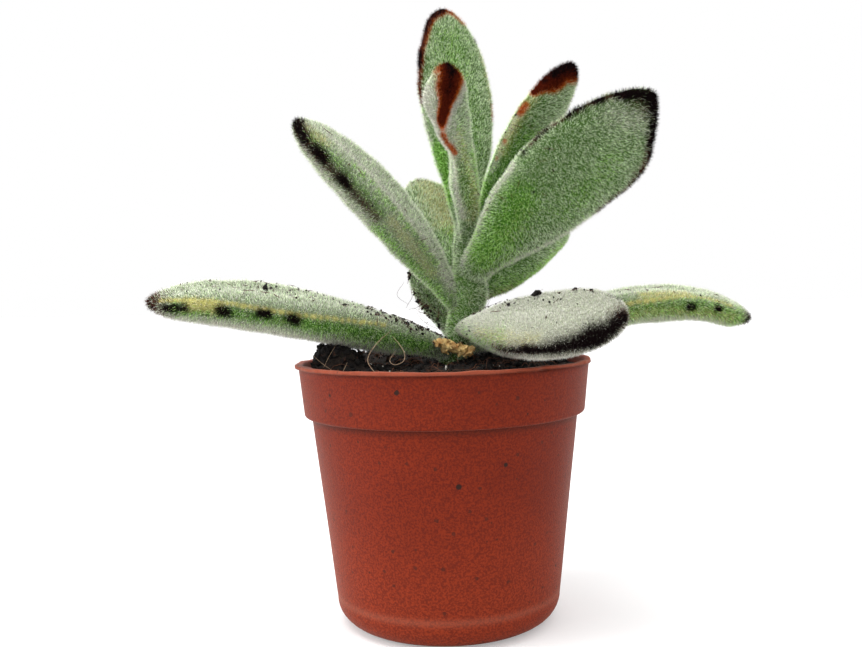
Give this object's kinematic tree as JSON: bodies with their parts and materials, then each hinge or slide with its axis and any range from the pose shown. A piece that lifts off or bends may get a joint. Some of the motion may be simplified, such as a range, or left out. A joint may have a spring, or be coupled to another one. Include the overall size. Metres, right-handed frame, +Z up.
{
  "type": "potted felt-leaved succulent",
  "caption": "Young felt-leaved succulent (panda plant) with thick hairy leaves on a short stem, growing in a round tapered plastic nursery pot filled with peat.",
  "frame": {"origin": "centre of the pot's flat underside", "axes": "+Z up along the pot's axis; +Y towards the back of the plant; +X towards the broad leaf's side"},
  "size_m": [0.1133, 0.0604, 0.1188],
  "materials": {
    "pot_plastic": "brown-red moulded plastic with a fine spark-eroded grain",
    "peat": "damp dark peat with fibres and a few white perlite grains",
    "stem_felt": "pale green skin under short white hairs",
    "leaf_felt": "grey-green skin felted with short silver hairs, dark brown hairs along the margin and tip",
    "bark": "crumbly tan cork"
  },
  "bodies": {
    "root": {"pot": "pot_plastic", "soil": "peat", "stem": "stem_felt", "bark_flake": "bark", "leaf_lower_left": "leaf_felt", "leaf_lower_right": "leaf_felt", "leaf_front_right": "leaf_felt", "leaf_rear_left": "leaf_felt", "leaf_middle_left": "leaf_felt", "leaf_rear_right": "leaf_felt", "leaf_broad_right": "leaf_felt", "leaf_rear": "leaf_felt", "leaf_upper_right": "leaf_felt", "leaf_tall_rear": "leaf_felt", "leaf_young_front": "leaf_felt"}
  },
  "joints": []
}
